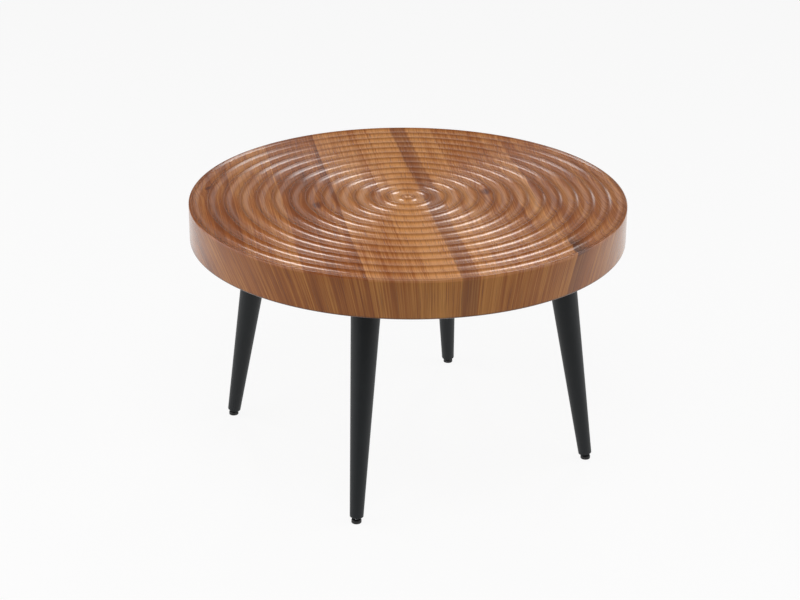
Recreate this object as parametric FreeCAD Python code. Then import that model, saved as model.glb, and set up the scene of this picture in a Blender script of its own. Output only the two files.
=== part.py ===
import FreeCAD, Part
import math
import os

from FreeCAD import Vector

# Round cocktail table: a ripple-carved drum top on four splayed, tapered legs with levelling glides.
# Millimetres, +Z up, origin on the floor under the centre of the top.
# Front is -Y and left is -X. The legs stand on the diagonals.

# Whole table
overall_height = 460.0
top_diameter = 750.0
top_thickness = 67.0

# Carved top panel: concave ripples between narrow rounded crests, from a small dish out to the edge
panel_thickness = 28.0
ripple_count = 13
ripple_depth = 3.6
crest_share = 0.10
dish_radius = 9.7
edge_land = 0.9
edge_round = 3.0

# Rim under the panel, four glued segments with a rebate for the bottom panel
rim_width = 60.0
rim_foot_round = 2.5
rebate_ledge = 15.0
rim_segment_count = 4
dowel_diameter = 8.0
dowel_length = 40.0
dowel_end_gap = 1.0

# Bottom panel
bottom_panel_thickness = 9.0
bottom_panel_play = 0.5
panel_screw_count = 8
panel_screw_diameter = 3.5
panel_screw_head = 7.0
panel_screw_length = 24.0

# Leg blocks and core rails inside the drum
block_length = 90.0
block_width = 90.0
block_play = 1.0
rail_width = 36.0

# Legs
leg_inset = 51.0
splay_angle = 9.3
leg_top_diameter = 51.0
leg_tip_diameter = 23.0
leg_top_chamfer = 1.5
leg_tip_chamfer = 1.0

# Leg plates
plate_side = 74.0
plate_thickness = 2.5
plate_corner_radius = 8.0
plate_screw_spacing = 54.0
plate_screw_diameter = 4.0
plate_screw_head = 8.0
plate_screw_length = 24.0
boss_diameter = 40.0
boss_height = 5.0

# Hanger bolts
bolt_diameter = 8.0
bolt_in_leg = 40.0
bolt_above_leg = 24.0
bolt_point = 6.0
bolt_end_chamfer = 1.0
bolt_hole_play = 1.5
bolt_hole_end_gap = 3.0

# Levelling feet: insert in the leg tip, stem with collar and ball end, swivelling pad
insert_diameter = 10.0
insert_length = 14.0
insert_flange_diameter = 14.0
insert_flange_thickness = 1.2
stem_diameter = 6.0
stem_length = 24.0
stem_end_chamfer = 0.8
stem_hole_play = 0.5
stem_hole_end_gap = 2.0
collar_side_count = 6
collar_across_flats = 11.0
collar_thickness = 1.6
collar_to_ball = 3.8
neck_diameter = 4.0
ball_diameter = 7.0
pad_diameter = 17.0
pad_height = 6.5
pad_top_round = 2.0
pad_foot_round = 1.0
pad_floor = 0.9

# Clearances and the overrun of cuts
fastener_clearance = 0.05
running_clearance = 0.05
socket_clearance = 0.1
overrun = 20.0

# Shares of fasteners' own sizes
screw_head_height_share = 0.5
screw_point_share = 0.2

# Levels, radii and the leg axis
top_radius = top_diameter / 2
crest_level = overall_height
valley_level = overall_height - ripple_depth
panel_base = overall_height - panel_thickness
underside = overall_height - top_thickness
drum_floor = underside + bottom_panel_thickness
rim_inner_radius = top_radius - rim_width
ledge_radius = rim_inner_radius + rebate_ledge
leg_axis_radius = rim_inner_radius - leg_inset
ripple_pitch = (top_radius - edge_round - edge_land - dish_radius) / ripple_count
ripple_slope = 2 * math.atan(2 * ripple_depth / ripple_pitch)
crest_reach = crest_share * ripple_pitch / 2
bend_level = crest_level - crest_share * ripple_depth
dish_reach = dish_radius - crest_reach
dish_floor = bend_level - dish_reach * math.tan(ripple_slope / 2)
socket_radius = ball_diameter / 2 + socket_clearance
swivel_height = pad_floor + socket_radius
splay = math.radians(splay_angle)
swivel_radius = leg_axis_radius + (underside - swivel_height) * math.tan(splay)
plate_base = underside - plate_thickness

# Distances up the leg axis from the swivel centre
leg_tip = collar_to_ball + collar_thickness
leg_top = (plate_base - boss_height - swivel_height) / math.cos(splay)

leg_azimuths = {"front_left": 225, "front_right": 315, "back_right": 45, "back_left": 135}
rim_azimuths = {"rim_right": 0, "rim_back": 90, "rim_left": 180, "rim_front": 270}
z_axis = Vector(0, 0, 1)


def at(radius, height):
    """A point of a profile in the XZ plane."""
    return Vector(radius, 0, height)


def line(start, end):
    return Part.LineSegment(start, end).toShape()


def arc(start, middle, end):
    return Part.Arc(start, middle, end).toShape()


def fillet_arc(start, corner, end):
    """A quarter round from start to end, on the corner's side."""
    centre = start + end - corner
    middle = centre + (corner - centre) * math.sqrt(1 / 2)
    return arc(start, middle, end)


def turned(edges, angle=360):
    """A solid turned about Z from the closed profile that the edges make."""
    face = Part.Face(Part.Wire(edges))
    return face.revolve(Vector(0, 0, 0), z_axis, angle)


def turned_polygon(points):
    """A solid turned about Z from straight profile lines."""
    closed = points + [points[0]]
    return turned([line(start, end) for start, end in zip(closed, closed[1:])])


def rod(radius, bottom, top):
    """An upright cylinder on the Z axis."""
    return Part.makeCylinder(radius, top - bottom, at(0, bottom))


def about_z(shape, azimuth):
    return shape.rotated(Vector(0, 0, 0), z_axis, azimuth)


def at_every_leg(shapes):
    """Copies, at all four legs, of shapes drawn at azimuth zero."""
    return [about_z(shape, azimuth) for azimuth in leg_azimuths.values() for shape in shapes]


def lean(shape):
    """Set a shape, drawn upright from the swivel centre, on the leg axis at azimuth zero."""
    tilted = shape.rotated(Vector(0, 0, 0), Vector(0, 1, 0), -splay_angle)
    return tilted.translated(at(swivel_radius, swivel_height))


def countersunk_screw(diameter, head, length, clearance=0.0):
    """A screw with its head's face at zero and its point up, or its hole when given a clearance."""
    shank_radius = diameter / 2 + clearance
    head_radius = head / 2 + clearance
    head_height = (head - diameter) * screw_head_height_share
    end = length + clearance
    return turned_polygon([
        at(0, 0),
        at(head_radius, 0),
        at(shank_radius, head_height),
        at(shank_radius, end - length * screw_point_share),
        at(0, end),
    ])


def plate_screws(clearance=0.0):
    """The four screws of the leg plate at azimuth zero, or their holes."""
    screw = countersunk_screw(plate_screw_diameter, plate_screw_head, plate_screw_length, clearance)
    half = plate_screw_spacing / 2
    corners = [(x, y) for x in (-half, half) for y in (-half, half)]
    return [screw.translated(Vector(leg_axis_radius + x, y, plate_base)) for x, y in corners]


def panel_screws(clearance=0.0):
    """The screws that hold the bottom panel to the rim's ledge, or their holes."""
    screw = countersunk_screw(panel_screw_diameter, panel_screw_head, panel_screw_length, clearance)
    first = screw.translated(at((rim_inner_radius + ledge_radius) / 2, underside))
    step = 360 / panel_screw_count
    return [about_z(first, step * (number + 1 / 2)) for number in range(panel_screw_count)]


def rim_dowels(clearance=0.0, end_gap=0.0):
    """The dowels across the rim's glue joints, or their holes."""
    length = dowel_length + 2 * end_gap
    start = Vector((ledge_radius + top_radius) / 2, -length / 2, (panel_base + drum_floor) / 2)
    dowel = Part.makeCylinder(dowel_diameter / 2 + clearance, length, start, Vector(0, 1, 0))
    step = 360 / rim_segment_count
    return [about_z(dowel, step * (number + 1 / 2)) for number in range(rim_segment_count)]


def bolt_hole():
    """The clearance hole of the hanger bolt above the leg at azimuth zero."""
    radius = bolt_diameter / 2 + bolt_hole_play
    return lean(rod(radius, leg_top, leg_top + bolt_above_leg + bolt_hole_end_gap))


def part_way(reach):
    """How far out and up the middle of an arc lies that starts level and bends to the ripples' slope."""
    radius = reach / math.sin(ripple_slope)
    return radius * math.sin(ripple_slope / 2), radius * (1 - math.cos(ripple_slope / 2))


def ripple_edges():
    """The carved face in profile, from the centre out to the start of the edge round."""
    out, up = part_way(dish_reach)
    rise = at(dish_reach, bend_level)
    edges = [arc(at(0, dish_floor), at(out, dish_floor + up), rise)]
    crest = dish_radius
    for _ in range(ripple_count):
        fall = at(crest + crest_reach, bend_level)
        edges.append(arc(rise, at(crest, crest_level), fall))
        valley = at(crest + ripple_pitch / 2, valley_level)
        crest += ripple_pitch
        rise = at(crest - crest_reach, bend_level)
        edges.append(arc(fall, valley, rise))
    out, up = part_way(crest_reach)
    edges.append(arc(rise, at(crest - out, crest_level - up), at(crest, crest_level)))
    edges.append(line(at(crest, crest_level), at(top_radius - edge_round, crest_level)))
    return edges


def make_top_panel():
    round_start = at(top_radius - edge_round, crest_level)
    round_end = at(top_radius, crest_level - edge_round)
    edges = ripple_edges()
    edges.append(fillet_arc(round_start, at(top_radius, crest_level), round_end))
    edges.append(line(round_end, at(top_radius, panel_base)))
    edges.append(line(at(top_radius, panel_base), at(0, panel_base)))
    edges.append(line(at(0, panel_base), at(0, dish_floor)))
    return turned(edges)


def make_rim_segment(azimuth):
    round_start = at(top_radius, underside + rim_foot_round)
    round_end = at(top_radius - rim_foot_round, underside)
    corners = [
        round_end,
        at(ledge_radius, underside),
        at(ledge_radius, drum_floor),
        at(rim_inner_radius, drum_floor),
        at(rim_inner_radius, panel_base),
        at(top_radius, panel_base),
        round_start,
    ]
    edges = [line(start, end) for start, end in zip(corners, corners[1:])]
    edges.append(fillet_arc(round_start, at(top_radius, underside), round_end))
    sweep = 360 / rim_segment_count
    segment = about_z(turned(edges, sweep), azimuth - sweep / 2)
    holes = rim_dowels(fastener_clearance, dowel_end_gap) + panel_screws(fastener_clearance)
    return segment.cut(holes)


def make_bottom_panel():
    disc = rod(ledge_radius - bottom_panel_play, underside, drum_floor)
    station_holes = plate_screws(fastener_clearance) + [bolt_hole()]
    return disc.cut(panel_screws(fastener_clearance) + at_every_leg(station_holes))


def block_outer_face():
    """Distance from the table's axis to the outer face of a block whose corners clear the rim."""
    return math.sqrt((rim_inner_radius - block_play) ** 2 - (block_width / 2) ** 2)


def make_leg_block():
    inner_face = block_outer_face() - block_length
    corner = Vector(inner_face, -block_width / 2, drum_floor)
    block = Part.makeBox(block_length, block_width, panel_base - drum_floor, corner)
    return block.cut(plate_screws(fastener_clearance) + [bolt_hole()])


def make_core_rail(notch_base, notch_top):
    """A rail along X between two blocks, notched at its middle for the rail that crosses it."""
    reach = block_outer_face() - block_length
    half = rail_width / 2
    rail = Part.makeBox(2 * reach, rail_width, panel_base - drum_floor, Vector(-reach, -half, drum_floor))
    notch_length = rail_width + 2 * overrun
    notch_corner = Vector(-half, -half - overrun, notch_base)
    return rail.cut(Part.makeBox(rail_width, notch_length, notch_top - notch_base, notch_corner))


def make_leg():
    tip_radius = leg_tip_diameter / 2
    head_radius = leg_top_diameter / 2
    blank = turned_polygon([
        at(0, leg_tip),
        at(tip_radius - leg_tip_chamfer, leg_tip),
        at(tip_radius, leg_tip + leg_tip_chamfer),
        at(head_radius, leg_top - leg_top_chamfer),
        at(head_radius - leg_top_chamfer, leg_top),
        at(0, leg_top),
    ])
    recess_radius = insert_flange_diameter / 2 + fastener_clearance
    insert_radius = insert_diameter / 2 + fastener_clearance
    stem_radius = stem_diameter / 2 + stem_hole_play
    bolt_radius = bolt_diameter / 2 + fastener_clearance
    below = leg_tip - overrun
    flange_recess = rod(recess_radius, below, leg_tip + insert_flange_thickness)
    insert_bore = rod(insert_radius, below, leg_tip + insert_length)
    stem_bore = rod(stem_radius, below, leg_tip + stem_length + stem_hole_end_gap)
    bolt_bore = rod(bolt_radius, leg_top - bolt_in_leg, leg_top + overrun)
    return blank.cut([flange_recess, insert_bore, stem_bore, bolt_bore])


def make_hanger_bolt():
    radius = bolt_diameter / 2
    foot = leg_top - bolt_in_leg
    head = leg_top + bolt_above_leg
    return turned_polygon([
        at(0, foot),
        at(radius, foot + bolt_point),
        at(radius, head - bolt_end_chamfer),
        at(radius - bolt_end_chamfer, head),
        at(0, head),
    ])


def make_leg_plate():
    half = plate_side / 2
    flange = Part.makeBox(plate_side, plate_side, plate_thickness,
                          Vector(leg_axis_radius - half, -half, plate_base))
    uprights = [edge for edge in flange.Edges if edge.BoundBox.ZLength > plate_thickness / 2]
    flange = flange.makeFillet(plate_corner_radius, uprights)
    boss = lean(rod(boss_diameter / 2, leg_top, leg_top + boss_height + overrun))
    below = Part.makeBox(plate_side, plate_side, boss_height + overrun,
                         Vector(leg_axis_radius - half, -half, plate_base - boss_height - overrun))
    bolt_radius = bolt_diameter / 2 + fastener_clearance
    bolt_bore = lean(rod(bolt_radius, leg_top - overrun, leg_top + bolt_above_leg))
    plate = flange.fuse(boss.common(below)).removeSplitter()
    return plate.cut(plate_screws(fastener_clearance) + [bolt_bore])


def make_foot_insert():
    barrel = rod(insert_diameter / 2, leg_tip, leg_tip + insert_length)
    flange = rod(insert_flange_diameter / 2, leg_tip, leg_tip + insert_flange_thickness)
    bore = rod(stem_diameter / 2 + running_clearance, leg_tip - overrun, leg_tip + insert_length + overrun)
    return barrel.fuse(flange).cut(bore)


def make_levelling_stem():
    ball = Part.makeSphere(ball_diameter / 2)
    neck = rod(neck_diameter / 2, 0, collar_to_ball)
    step = 360 / collar_side_count
    corner = Vector(collar_across_flats / 2 / math.cos(math.radians(step / 2)), 0, collar_to_ball)
    corners = [about_z(Part.Vertex(corner), step * number).Point for number in range(collar_side_count)]
    corners.append(corners[0])
    collar = Part.Face(Part.makePolygon(corners)).extrude(at(0, collar_thickness))
    radius = stem_diameter / 2
    end = leg_tip + stem_length
    shank = turned_polygon([
        at(0, leg_tip),
        at(radius, leg_tip),
        at(radius, end - stem_end_chamfer),
        at(radius - stem_end_chamfer, end),
        at(0, end),
    ])
    return ball.fuse([neck, collar, shank])


def make_glide_pad():
    """The pad on the floor at the table's axis; its socket is open above and holds the ball."""
    radius = pad_diameter / 2
    mouth = math.sqrt(socket_radius ** 2 - (pad_height - swivel_height) ** 2)
    foot_start = at(radius - pad_foot_round, 0)
    foot_end = at(radius, pad_foot_round)
    shoulder_start = at(radius, pad_height - pad_top_round)
    shoulder_end = at(radius - pad_top_round, pad_height)
    mouth_edge = at(mouth, pad_height)
    socket_foot = at(0, pad_floor)
    return turned([
        line(at(0, 0), foot_start),
        fillet_arc(foot_start, at(radius, 0), foot_end),
        line(foot_end, shoulder_start),
        fillet_arc(shoulder_start, at(radius, pad_height), shoulder_end),
        line(shoulder_end, mouth_edge),
        arc(mouth_edge, at(socket_radius, swivel_height), socket_foot),
        line(socket_foot, at(0, 0)),
    ])


def leg_station_pieces():
    """The pieces that stand at each leg, drawn at azimuth zero."""
    return {
        "leg_block": make_leg_block(),
        "leg_plate": make_leg_plate(),
        "leg": lean(make_leg()),
        "levelling_stem": lean(make_levelling_stem()),
        "glide_pad": make_glide_pad().translated(at(swivel_radius, 0)),
    }


def all_pieces():
    lap_level = (panel_base + drum_floor) / 2
    lower_rail = make_core_rail(lap_level, panel_base + overrun)
    upper_rail = make_core_rail(drum_floor - overrun, lap_level)
    pieces = {
        "top_panel": make_top_panel(),
        "bottom_panel": make_bottom_panel(),
        "lower_core_rail": about_z(lower_rail, leg_azimuths["back_right"]),
        "upper_core_rail": about_z(upper_rail, leg_azimuths["back_left"]),
        "rim_dowels": Part.makeCompound(rim_dowels()),
        "panel_screws": Part.makeCompound(panel_screws()),
        "plate_screws": Part.makeCompound(at_every_leg(plate_screws())),
        "hanger_bolts": Part.makeCompound(at_every_leg([lean(make_hanger_bolt())])),
        "foot_inserts": Part.makeCompound(at_every_leg([lean(make_foot_insert())])),
    }
    for name, azimuth in rim_azimuths.items():
        pieces[name] = make_rim_segment(azimuth)
    for piece, shape in leg_station_pieces().items():
        for corner, azimuth in leg_azimuths.items():
            pieces[f"{corner}_{piece}"] = about_z(shape, azimuth)
    return pieces


os.makedirs("parts", exist_ok=True)
for node, solid in all_pieces().items():
    solid.exportStep(f"parts/{node}.step")
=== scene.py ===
import math
import bpy
from mathutils import Matrix, Vector


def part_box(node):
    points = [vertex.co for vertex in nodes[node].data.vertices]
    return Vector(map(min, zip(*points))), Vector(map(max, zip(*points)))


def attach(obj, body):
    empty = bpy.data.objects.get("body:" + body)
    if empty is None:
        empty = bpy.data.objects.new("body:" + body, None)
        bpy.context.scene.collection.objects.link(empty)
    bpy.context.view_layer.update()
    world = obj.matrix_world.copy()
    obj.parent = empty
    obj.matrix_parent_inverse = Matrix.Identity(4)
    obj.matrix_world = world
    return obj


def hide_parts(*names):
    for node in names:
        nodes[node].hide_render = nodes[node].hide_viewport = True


# Round cocktail table: a rippled drum top under wood-grain film, on four splayed black legs.
# Metres, +Z up, origin on the floor under the middle of the top. Colours are display levels, 0 to 255.

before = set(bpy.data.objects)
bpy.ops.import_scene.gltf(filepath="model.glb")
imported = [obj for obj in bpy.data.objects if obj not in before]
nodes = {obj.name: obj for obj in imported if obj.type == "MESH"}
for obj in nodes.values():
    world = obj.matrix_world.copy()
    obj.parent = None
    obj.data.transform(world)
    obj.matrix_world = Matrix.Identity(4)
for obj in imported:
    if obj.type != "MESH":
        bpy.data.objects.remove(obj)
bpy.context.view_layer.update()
corners = ("front_left", "front_right", "back_right", "back_left")
rims = ("rim_front", "rim_right", "rim_back", "rim_left")

# Carved top panel: the ripples lie between the dish in the middle and the rounded edge
panel_low, panel_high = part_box("top_panel")
top_radius = panel_high[0]
top_diameter = 2 * top_radius
crest_level = panel_high[2]
panel_base = panel_low[2]
ripple_count = 13
ripple_depth = 0.0036
crest_share = 0.10
dish_radius = 0.0097
edge_land = 0.0009
edge_round = 0.003
ripple_pitch = (top_radius - edge_round - edge_land - dish_radius) / ripple_count
ripple_slope = 2 * math.atan(2 * ripple_depth / ripple_pitch)
crest_reach = crest_share * ripple_pitch / 2
panel_turns = 256
half_crest_steps = 3
half_valley_steps = 7
round_steps = 6
sharp_angle = math.radians(50)

# Boards of the film, seen from above: where each starts across the grain, and how light it is, 0 to 1
grain_angle = math.radians(68.8)
film_stretch = 1.5
board_wander = 0.010
board_edge = 0.001
board_tones = (
    (-0.375, 0.47), (-0.337, 0.33), (-0.300, 0.56), (-0.257, 0.62), (-0.217, 0.31), (-0.165, 0.40),
    (-0.130, 0.25), (-0.125, 0.66), (-0.075, 0.60), (-0.044, 0.80), (-0.023, 0.90), (0.025, 0.54),
    (0.054, 0.76), (0.100, 0.58), (0.142, 0.60), (0.185, 0.70), (0.219, 0.46), (0.268, 0.52), (0.300, 0.55),
)
rim_tone = 0.57
rim_evenness = 0.5
# top_lift lightens the top's film to make up for the painted shade at the crests
top_lift = 0.09

# Grain marks: how many to a metre across and along the boards, the layer of noise and its texture
drift_marks = {"across": 3, "along": 4, "layer": 0.3, "detail": 1.0}
fibre_marks = {"across": 420, "along": 5, "layer": 0.0, "detail": 4.0, "roughness": 0.65}
figure_marks = {"across": 75, "along": 2.6, "layer": 1.7, "detail": 3.0, "roughness": 0.6, "distortion": 0.6}
band_marks = {"across": 26, "along": 3.4, "layer": 6.3}
cloud_marks = {"across": 9, "along": 6, "layer": 4.1}
pore_marks = {"across": 800, "along": 22, "layer": 2.2}
fibre_weight = 1.25
figure_weight = 0.75
band_weight = 0.45
cloud_weight = 0.5
pore_edge = (0.55, 0.70)
pore_share = 0.6

# Knots: place across and along the grain, and size; the heart and the bend reach so many sizes out
knots = ((-0.158, -0.014, 0.011), (0.138, 0.011, 0.010), (-0.337, 0.094, 0.008))
knot_length = 1.6
knot_heart = (0.4, 1.2)
knot_depth = 0.45
knot_bend = (0.6, 4.0)
knot_bend_share = 0.6

# Single marks: a greyish board, a dark stain at the front, painted shade over the crests, and painted shade
# at the rim's foot
stripe_start = 0.025
stripe_end = 0.054
stripe_share = 0.3
stain_start = 0.228
stain_fade = (0.232, 0.268)
stain_length = (-0.26, -0.19)
stain_share = 0.8
stain_loss_on_side = 0.45
# Painted shade at the crests: where it fades out, and how far it darkens the film
crest_shade_fade = (0.02, 0.26)
crest_shade_strength = 0.46
film_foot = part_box("rim_front")[0][2]
# Painted shade at the rim's foot: how high the dark band reaches, and how dark it is
foot_shade_height = 0.0045
foot_shade_share = 0.85

# Tones of the finishes
tone_dark = (113, 55, 25)
tone_mid = (174, 100, 46)
tone_light = (226, 156, 90)
tone_stripe = (126, 84, 66)
tone_side = (233, 234, 201)
tone_stain = (78, 46, 36)
# Painted shade at the rim's foot
tone_foot_shade = (70, 44, 30)
paint_tones = ((31, 34, 36), (41, 44, 46))
nylon_tones = ((14, 14, 15), (26, 26, 27))
zinc_tones = ((150, 152, 154), (186, 188, 190))
black_zinc_tones = ((28, 28, 29), (44, 44, 46))
fibreboard_tones = ((142, 112, 80), (168, 136, 100))
fibreboard_felt = (110, 84, 58)
timber_tones = ((196, 158, 108), (226, 194, 148))
plain_white = (1.0, 1.0, 1.0, 1.0)
floor_grey = (0.7, 0.7, 0.7, 1.0)

# Studio: glossy finishes show the white floor near the table, and less of it on the photograph's side
surroundings_strength = 0.13
floor_reach = 12.0
floor_whiteness = 0.9
mirror_fade = (1.7, 2.6)
front_fade = (0.2, 1.0)
front_loss = 0.75

# Camera, as the photograph was taken: turned about the table, then set off, back and up
camera_turn = math.radians(-30.5)
camera_offset = -0.0124
camera_distance = 3.231
camera_height = 1.654
camera_pitch = math.radians(23.25)
camera_roll = math.radians(0.42)
camera_lens = 90.2
sensor_width = 36.0


def linear(level):
    """One display level, 0 to 255, as light."""
    share = level / 255
    if share <= 0.04045:
        return share / 12.92
    return ((share + 0.055) / 1.055) ** 2.4


def colour(levels):
    return tuple(linear(level) for level in levels) + (1.0,)


class Value:
    """A shader socket that takes part in sums; each operator adds its Math node."""

    def __init__(self, shader, socket):
        self.shader = shader
        self.socket = socket

    def math(self, operation, *values):
        return self.shader.node("Math", {"operation": operation}, dict(enumerate(values)))

    def __add__(self, other):
        return self.math("ADD", self, other)

    def __radd__(self, other):
        return self.math("ADD", other, self)

    def __sub__(self, other):
        return self.math("SUBTRACT", self, other)

    def __rsub__(self, other):
        return self.math("SUBTRACT", other, self)

    def __mul__(self, other):
        return self.math("MULTIPLY", self, other)

    def __rmul__(self, other):
        return self.math("MULTIPLY", other, self)

    def __truediv__(self, other):
        return self.math("DIVIDE", self, other)

    def __rtruediv__(self, other):
        return self.math("DIVIDE", other, self)

    def __abs__(self):
        return self.math("ABSOLUTE", self)

    def fraction(self):
        return self.math("FRACT", self)


class Shader:
    """The nodes of one material or of the world."""

    def __init__(self, owner):
        owner.use_nodes = True
        self.owner = owner
        self.tree = owner.node_tree
        self.tree.nodes.clear()

    def node(self, kind, settings=None, inputs=None, out=0):
        """Add a node: its settings first, then the values or links of its sockets; returns one output."""
        made = self.tree.nodes.new("ShaderNode" + kind)
        for name, setting in (settings or {}).items():
            if name == "stops":
                self.set_stops(made.color_ramp, setting)
            elif name == "interpolation":
                made.color_ramp.interpolation = setting
            else:
                setattr(made, name, setting)
        for key, value in (inputs or {}).items():
            if isinstance(value, Value):
                self.tree.links.new(value.socket, made.inputs[key])
            else:
                made.inputs[key].default_value = value
        return Value(self, made.outputs[out]) if len(made.outputs) else made

    def set_stops(self, ramp, stops):
        while len(ramp.elements) < len(stops):
            ramp.elements.new(1.0)
        for element, (place, level) in zip(ramp.elements, stops):
            element.position = place
            element.color = level if isinstance(level, tuple) else (level, level, level, 1.0)

    def place(self):
        """The point in the part's own frame."""
        return self.node("TexCoord", out="Object")

    def along(self, point, direction):
        """How far a point lies along a direction."""
        return self.node("VectorMath", {"operation": "DOT_PRODUCT"}, {0: point, 1: direction}, "Value")

    def length(self, point):
        """How far a point lies from the origin."""
        return self.node("VectorMath", {"operation": "LENGTH"}, {0: point}, "Value")

    def stretched(self, point, scale):
        return self.node("VectorMath", {"operation": "MULTIPLY"}, {0: point, 1: scale})

    def joined(self, x, y, z):
        return self.node("CombineXYZ", None, {0: x, 1: y, 2: z})

    def noise(self, point, scale, detail=2.0, roughness=0.5, distortion=0.0):
        inputs = {"Vector": point, "Scale": scale, "Detail": detail, "Roughness": roughness,
                  "Distortion": distortion}
        return self.node("TexNoise", None, inputs)

    def marks(self, board_place, across, along, layer, **texture):
        """Noise drawn out along the boards, with so many marks to a metre across and along them."""
        aside, way = board_place
        return self.noise(self.joined(aside * across, way * along, layer), scale=1.0, **texture)

    def ramp(self, value, stops, interpolation="LINEAR"):
        return self.node("ValToRGB", {"stops": stops, "interpolation": interpolation}, {0: value})

    def step(self, value, low, high):
        """A smooth rise from 0 at low to 1 at high."""
        inputs = {"Value": value, "From Min": low, "From Max": high, "To Min": 0.0, "To Max": 1.0}
        return self.node("MapRange", {"interpolation_type": "SMOOTHSTEP"}, inputs)

    def mix(self, share, first, second, blend="MIX"):
        settings = {"data_type": "RGBA", "blend_type": blend}
        return self.node("Mix", settings, {0: share, 6: first, 7: second}, 2)

    def between(self, share, tones):
        """A colour between two tones."""
        low, high = tones
        return self.mix(share, colour(low), colour(high))

    def bump(self, height, distance, strength):
        return self.node("Bump", None, {"Height": height, "Distance": distance, "Strength": strength})

    def finish(self, inputs):
        """Close the material with one principled surface."""
        surface = self.node("BsdfPrincipled", None, inputs)
        self.node("OutputMaterial", None, {"Surface": surface})
        return self.owner


def material(name):
    return Shader(bpy.data.materials.new(name))


def grain_film():
    """Board-printed film under satin lacquer, drawn down over the rim."""
    film = material("grain_film")
    point = film.place()
    height = film.along(point, (0, 0, 1))
    side = film.step(crest_level - height, edge_round, 2 * edge_round)

    # Places across and along the boards, which the film carries down the rim
    drawn = 1 + (crest_level - height) * film_stretch
    lie = (math.cos(grain_angle), math.sin(grain_angle), 0)
    cross = (math.sin(grain_angle), -math.cos(grain_angle), 0)
    along = film.along(point, lie) * drawn
    across = film.along(point, cross) * drawn
    drift = film.marks((across, along), **drift_marks)
    board = across + (drift - 0.5) * board_wander

    # How light each board is, evened out on the rim
    stops = [(start / top_diameter + 0.5, tone) for start, tone in board_tones]
    tone = film.ramp(board / top_diameter + 0.5, stops, "CONSTANT")
    # The top is lifted to make up for the painted shade at the crests
    shade = tone + (rim_tone - tone) * side * rim_evenness + top_lift * (1 - side)

    # Knots darken the film and draw the grain in round them
    bent = across
    for knot_across, knot_along, size in knots:
        aside = across - knot_across
        reach = film.joined(aside / size, (along - knot_along) / (size * knot_length), 0.0)
        far = film.length(reach)
        bent = bent - aside * (1 - film.step(far, *knot_bend)) * knot_bend_share
        shade = shade - (1 - film.step(far, *knot_heart)) * knot_depth

    # Grain within the boards
    fibre = film.marks((bent, along), **fibre_marks)
    figure = film.marks((bent, along), **figure_marks)
    band = film.marks((bent, along), **band_marks)
    cloud = film.marks((bent, along), **cloud_marks)
    weights = ((fibre, fibre_weight), (figure, figure_weight), (band, band_weight), (cloud, cloud_weight))
    for grain, weight in weights:
        shade = shade + (grain - 0.5) * weight
    tint = film.ramp(shade, [(0.0, colour(tone_dark)), (0.5, colour(tone_mid)), (1.0, colour(tone_light))])

    # Painted shade: the film is darkened all round at the crests, as a match to the photograph, standing in
    # for the ripples' shading; the crests are counted in ripples from the dish
    radius = film.length(film.stretched(point, (1, 1, 0)))
    ripple = (radius - dish_radius) / ripple_pitch + 0.5
    crest = 1 - film.step(abs(ripple.fraction() - 0.5), *crest_shade_fade)
    tint = film.mix(crest * (1 - side) * crest_shade_strength, tint, colour(tone_dark))

    # The greyish board, the stain, the pores, the rim's own tint, and painted shade at the rim's foot
    stripe = film.step(board, stripe_start - board_edge, stripe_start + board_edge)
    stripe = stripe * (1 - film.step(board, stripe_end - board_edge, stripe_end + board_edge))
    tint = film.mix(stripe * stripe_share, tint, colour(tone_stripe))
    stain = film.step(board, stain_start - board_edge, stain_start + board_edge)
    stain = stain * (1 - film.step(board, *stain_fade)) * (1 - film.step(along, *stain_length))
    tint = film.mix(stain * (stain_share - side * stain_loss_on_side), tint, colour(tone_stain))
    pore = film.step(film.marks((bent, along), **pore_marks), *pore_edge)
    tint = film.mix(pore * pore_share, tint, colour(tone_dark))
    tint = film.mix(side, tint, colour(tone_side), "MULTIPLY")
    # Painted shade: a dark band along the foot of the rim, where its lower edge turns down from the light
    foot_shade = 1 - film.step(height, film_foot, film_foot + foot_shade_height)
    tint = film.mix(foot_shade * foot_shade_share, tint, colour(tone_foot_shade))

    smudge = film.noise(point, scale=14.0, detail=3.0)
    return film.finish({
        "Base Color": tint,
        "Roughness": 0.19 + smudge * 0.06 + pore * 0.06,
        "Specular IOR Level": 0.36,
        "Coat Weight": 0.3,
        "Coat Roughness": 0.14,
        "Normal": film.bump(fibre * 0.4 - pore, distance=0.00006, strength=0.05),
    })


def black_paint():
    """Sprayed satin black over turned timber: a little orange peel and rubbed places."""
    paint = material("black_paint")
    point = paint.place()
    peel = paint.noise(point, scale=420.0)
    cloud = paint.noise(point, scale=16.0, detail=3.0)
    return paint.finish({
        "Base Color": paint.between(cloud, paint_tones),
        "Roughness": 0.42 + cloud * 0.10,
        "Specular IOR Level": 0.28,
        "Normal": paint.bump(peel, distance=0.00004, strength=0.4),
    })


def black_nylon():
    """Moulded nylon with a fine grit and scuffs."""
    nylon = material("black_nylon")
    point = nylon.place()
    grit = nylon.noise(point, scale=900.0, detail=3.0)
    scuff = nylon.noise(point, scale=120.0)
    return nylon.finish({
        "Base Color": nylon.between(scuff, nylon_tones),
        "Roughness": 0.5 + grit * 0.15,
        "Normal": nylon.bump(grit, distance=0.00005, strength=0.5),
    })


def plated_steel(name, tones, metal_share):
    """Zinc-plated steel, clear or black, with fine turning marks and blotches."""
    steel = material(name)
    point = steel.place()
    blotch = steel.noise(point, scale=90.0, detail=3.0)
    turning = steel.noise(steel.stretched(point, (40, 40, 2600)), scale=1.0, detail=1.0)
    return steel.finish({
        "Base Color": steel.between(blotch, tones),
        "Metallic": metal_share,
        "Roughness": 0.30 + blotch * 0.15,
        "Normal": steel.bump(turning, distance=0.00002, strength=0.4),
    })


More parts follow.
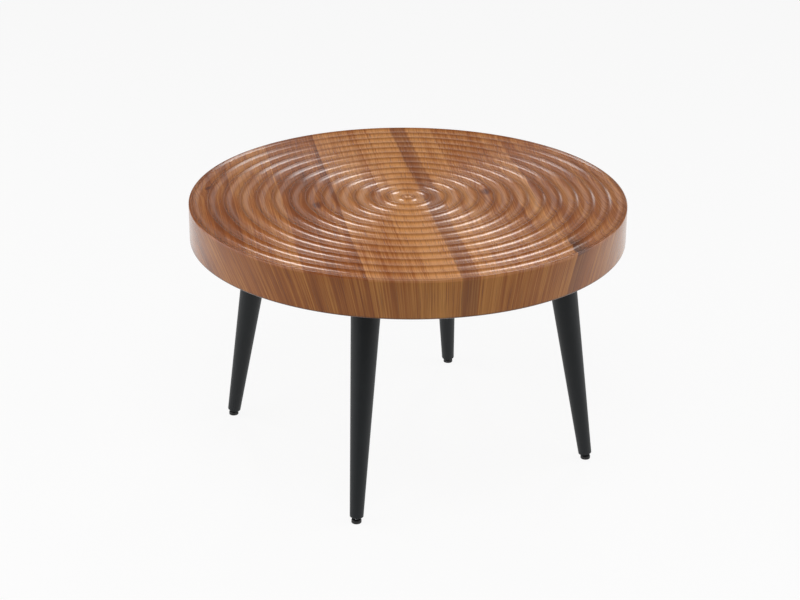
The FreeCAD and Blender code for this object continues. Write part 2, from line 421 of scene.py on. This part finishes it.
def raw_board():
    """Sealed fibreboard: felted fibres over a cloudy ground."""
    board = material("raw_board")
    point = board.place()
    felt = board.noise(point, scale=700.0, detail=4.0, roughness=0.65)
    cloud = board.noise(point, scale=10.0, detail=3.0)
    ground = board.between(cloud, fibreboard_tones)
    return board.finish({
        "Base Color": board.mix(felt * 0.5, ground, colour(fibreboard_felt)),
        "Roughness": 0.62 + felt * 0.2,
        "Normal": board.bump(felt, distance=0.0001, strength=0.4),
    })


def raw_timber():
    """Planed softwood with level growth lines."""
    timber = material("raw_timber")
    point = timber.place()
    lines = timber.noise(timber.stretched(point, (60, 60, 320)), scale=1.0, detail=3.0, roughness=0.6)
    fleck = timber.noise(timber.stretched(point, (400, 400, 900)), scale=1.0)
    return timber.finish({
        "Base Color": timber.between(timber.step(lines, 0.35, 0.65), timber_tones),
        "Roughness": 0.55 + fleck * 0.2,
        "Normal": timber.bump(fleck, distance=0.00008, strength=0.4),
    })


def bend(reach, steps):
    """Offsets out and up along an arc that starts level and bends to the ripples' slope."""
    radius = reach / math.sin(ripple_slope)
    angles = [ripple_slope * number / steps for number in range(steps + 1)]
    return [(radius * math.sin(angle), radius * (1 - math.cos(angle))) for angle in angles]


def panel_profile():
    """The top panel in profile, from the centre of the dish out, round the edge and back under."""
    bend_level = crest_level - crest_share * ripple_depth
    valley_level = crest_level - ripple_depth
    dish_reach = dish_radius - crest_reach
    dish_floor = bend_level - dish_reach * math.tan(ripple_slope / 2)
    valley = bend(ripple_pitch / 2 - crest_reach, half_valley_steps)
    crest = bend(crest_reach, half_crest_steps)
    points = [(out, dish_floor + up) for out, up in bend(dish_reach, half_valley_steps)]
    middle = dish_radius
    for _ in range(ripple_count):
        points += [(middle - out, crest_level - down) for out, down in reversed(crest[:-1])]
        points += [(middle + out, crest_level - down) for out, down in crest[1:]]
        floor = middle + ripple_pitch / 2
        points += [(floor - out, valley_level + up) for out, up in reversed(valley[:-1])]
        points += [(floor + out, valley_level + up) for out, up in valley[1:]]
        middle += ripple_pitch
    points += [(middle - out, crest_level - down) for out, down in reversed(crest[:-1])]
    for number in range(round_steps + 1):
        angle = math.pi / 2 * number / round_steps
        inset = edge_round * (1 - math.sin(angle))
        drop = edge_round * (1 - math.cos(angle))
        points.append((top_radius - inset, crest_level - drop))
    points += [(top_radius, panel_base), (0.0, panel_base)]
    return points


def turned(name, profile, turns):
    """A closed mesh turned about the upright axis; the profile starts and ends on the axis."""
    points = [(0.0, 0.0, profile[0][1])]
    for radius, height in profile[1:-1]:
        for number in range(turns):
            angle = 2 * math.pi * number / turns
            points.append((radius * math.cos(angle), radius * math.sin(angle), height))
    points.append((0.0, 0.0, profile[-1][1]))
    last = len(points) - 1
    rings = len(profile) - 2
    faces = []
    for number in range(turns):
        after = (number + 1) % turns
        faces.append((0, 1 + number, 1 + after))
        for ring in range(rings - 1):
            inner = 1 + ring * turns
            outer = inner + turns
            faces.append((inner + number, outer + number, outer + after, inner + after))
        foot = 1 + (rings - 1) * turns
        faces.append((foot + number, last, foot + after))
    mesh = bpy.data.meshes.new(name)
    mesh.from_pydata(points, [], faces)
    mesh.shade_smooth()
    mesh.set_sharp_from_angle(angle=sharp_angle)
    piece = bpy.data.objects.new(name, mesh)
    bpy.context.scene.collection.objects.link(piece)
    return piece


def at_corners(piece):
    """The names of one piece at all four corners."""
    return [corner + "_" + piece for corner in corners]


def dress(names, finish):
    """Give CAD nodes their finish through their own material slots."""
    for name in names:
        piece = nodes[name]
        if not piece.material_slots:
            piece.data.materials.append(finish)
        for slot in piece.material_slots:
            slot.link = "OBJECT"
            slot.material = finish


def soft_box(name, bearing, rise, distance, width, height, radiance, aim=(0.0, 0.0), spread=180.0):
    """A flat lamp about the table, with its brightness given as seen in a mirror.

    Angles are in degrees. The bearing runs from straight behind the table as the camera sees it, clockwise
    from above. The lamp faces a place on the top, given to the right of the middle and towards the camera,
    and a grid on it can narrow its spread.
    """
    half = math.radians(spread) / 2
    lamp = bpy.data.lights.new(name, "AREA")
    lamp.shape = "RECTANGLE"
    lamp.size = width
    lamp.size_y = height
    lamp.spread = 2 * half
    lamp.energy = radiance * math.pi * width * height * (1 - half / math.tan(half))
    holder = bpy.data.objects.new(name, lamp)
    middle = Vector((0, 0, crest_level))
    turn = Matrix.Rotation(camera_turn, 3, "Z")
    heading = math.radians(bearing)
    climb = math.radians(rise)
    reach = distance * math.cos(climb)
    stand = Vector((reach * math.sin(heading), reach * math.cos(heading), distance * math.sin(climb)))
    holder.location = middle + turn @ stand
    way = turn @ (stand - Vector((aim[0], -aim[1], 0)))
    holder.rotation_euler = way.to_track_quat("Z", "Y").to_euler()
    bpy.context.scene.collection.objects.link(holder)


def light_world():
    """Dim, even surroundings."""
    world = bpy.data.worlds.new("studio")
    bpy.context.scene.world = world
    sky = Shader(world)
    glow = sky.node("Background", None, {"Color": plain_white, "Strength": surroundings_strength})
    sky.node("OutputWorld", None, {"Surface": glow})


def floor_paper():
    """White paper that keeps a faint shadow and is clear from below."""
    paper = material("floor_paper")
    seen = paper.node("LightPath", out="Is Camera Ray") + paper.node("LightPath", out="Is Transmission Ray")
    glossy = paper.node("LightPath", out="Is Glossy Ray")
    point = paper.place()
    ahead = paper.along(point, (math.sin(camera_turn), -math.cos(camera_turn), 0))
    near = 1 - paper.step(paper.length(point), *mirror_fade)
    mirrored = near * (1 - paper.step(ahead, *front_fade) * front_loss)
    white_rays = seen * floor_whiteness + glossy * mirrored
    dim = paper.node("BsdfDiffuse", None, {"Color": floor_grey})
    pale = paper.node("BsdfDiffuse", None, {"Color": plain_white})
    matt = paper.node("MixShader", None, {0: seen, 1: dim, 2: pale})
    white = paper.node("Emission", None, {"Color": plain_white, "Strength": 1.0})
    lit = paper.node("MixShader", None, {0: white_rays, 1: matt, 2: white})
    below = paper.node("NewGeometry", out="Backfacing")
    clear = paper.node("BsdfTransparent")
    sheet = paper.node("MixShader", None, {0: below, 1: lit, 2: clear})
    paper.node("OutputMaterial", None, {"Surface": sheet})
    return paper.owner


def lay_floor():
    ends = ((-1, -1), (1, -1), (1, 1), (-1, 1))
    mesh = bpy.data.meshes.new("floor")
    mesh.from_pydata([(floor_reach * x, floor_reach * y, 0) for x, y in ends], [], [(0, 1, 2, 3)])
    mesh.materials.append(floor_paper())
    floor = bpy.data.objects.new("floor", mesh)
    bpy.context.scene.collection.objects.link(floor)


def set_lamps():
    """A soft box behind, two gridded strips for the ripples, a low box, two sides and one overhead."""
    soft_box("back_box", bearing=0, rise=25, distance=5.2, width=1.3, height=1.6, radiance=0.42)
    soft_box("strip_box_left", bearing=-15.5, rise=42, distance=5.0, width=0.55, height=1.4, radiance=13.5,
             aim=(-0.17, 0.21), spread=25)
    soft_box("strip_box_right", bearing=17.5, rise=42, distance=5.0, width=1.0, height=1.4, radiance=11.5,
             aim=(0.18, 0.20), spread=25)
    soft_box("low_box", bearing=24, rise=8, distance=5.0, width=0.7, height=0.6, radiance=1.6)
    soft_box("side_box_left", bearing=-92, rise=17, distance=3.2, width=4.6, height=2.4, radiance=2.0)
    soft_box("side_box_right", bearing=92, rise=17, distance=3.2, width=4.6, height=2.4, radiance=1.6)
    soft_box("overhead_box", bearing=180, rise=60, distance=2.6, width=1.4, height=1.4, radiance=3.3)


def set_camera():
    data = bpy.data.cameras.new("camera")
    data.lens = camera_lens
    data.sensor_width = sensor_width
    data.sensor_fit = "HORIZONTAL"
    camera = bpy.data.objects.new("camera", data)
    stand = Matrix.Translation((camera_offset, -camera_distance, camera_height))
    tilt = Matrix.Rotation(math.pi / 2 - camera_pitch, 4, "X") @ Matrix.Rotation(camera_roll, 4, "Z")
    camera.matrix_world = Matrix.Rotation(camera_turn, 4, "Z") @ stand @ tilt
    bpy.context.scene.collection.objects.link(camera)
    bpy.context.scene.camera = camera


film = grain_film()
panel = turned("carved_top_panel", panel_profile(), panel_turns)
panel.data.materials.append(film)
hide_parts("top_panel")
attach(panel, "table")

zinc = plated_steel("zinc_steel", zinc_tones, 1.0)
black_zinc = plated_steel("black_steel", black_zinc_tones, 0.6)
dress(rims, film)
dress(at_corners("leg"), black_paint())
dress(at_corners("glide_pad"), black_nylon())
dress(at_corners("levelling_stem") + ["hanger_bolts", "foot_inserts"], zinc)
dress(at_corners("leg_plate") + ["plate_screws", "panel_screws"], black_zinc)
dress(["bottom_panel"], raw_board())
dress(at_corners("leg_block") + ["lower_core_rail", "upper_core_rail", "rim_dowels"], raw_timber())

light_world()
lay_floor()
set_camera()
set_lamps()

scene = bpy.context.scene
scene.view_settings.view_transform = "Standard"
